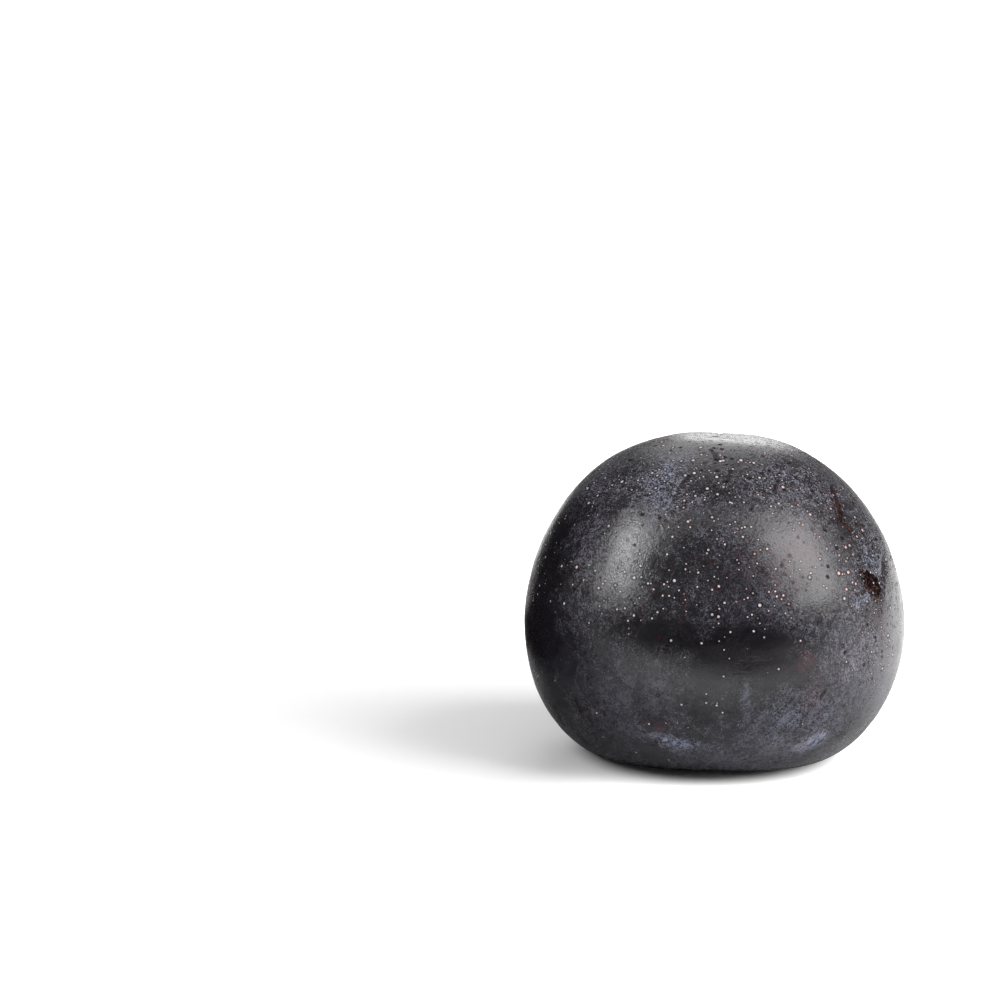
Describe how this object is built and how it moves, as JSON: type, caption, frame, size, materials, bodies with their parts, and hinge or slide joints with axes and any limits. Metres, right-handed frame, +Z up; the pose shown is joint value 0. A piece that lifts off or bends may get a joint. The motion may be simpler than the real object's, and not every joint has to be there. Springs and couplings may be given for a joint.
{
  "type": "plum",
  "caption": "Whole ripe black plum with waxy bloom, a seam groove and a stem hollow, standing on its stem end.",
  "frame": {"origin": "middle of the plum's outline on the surface that it rests on", "axes": "+Z up, from the stem hollow to the blossom tip; X from cheek to cheek; +Y towards the side that the seam runs down"},
  "size_m": [0.0618, 0.0592, 0.0527],
  "materials": {
    "plum_skin": "satin"
  },
  "bodies": {
    "root": {"plum": "plum_skin"}
  },
  "joints": []
}
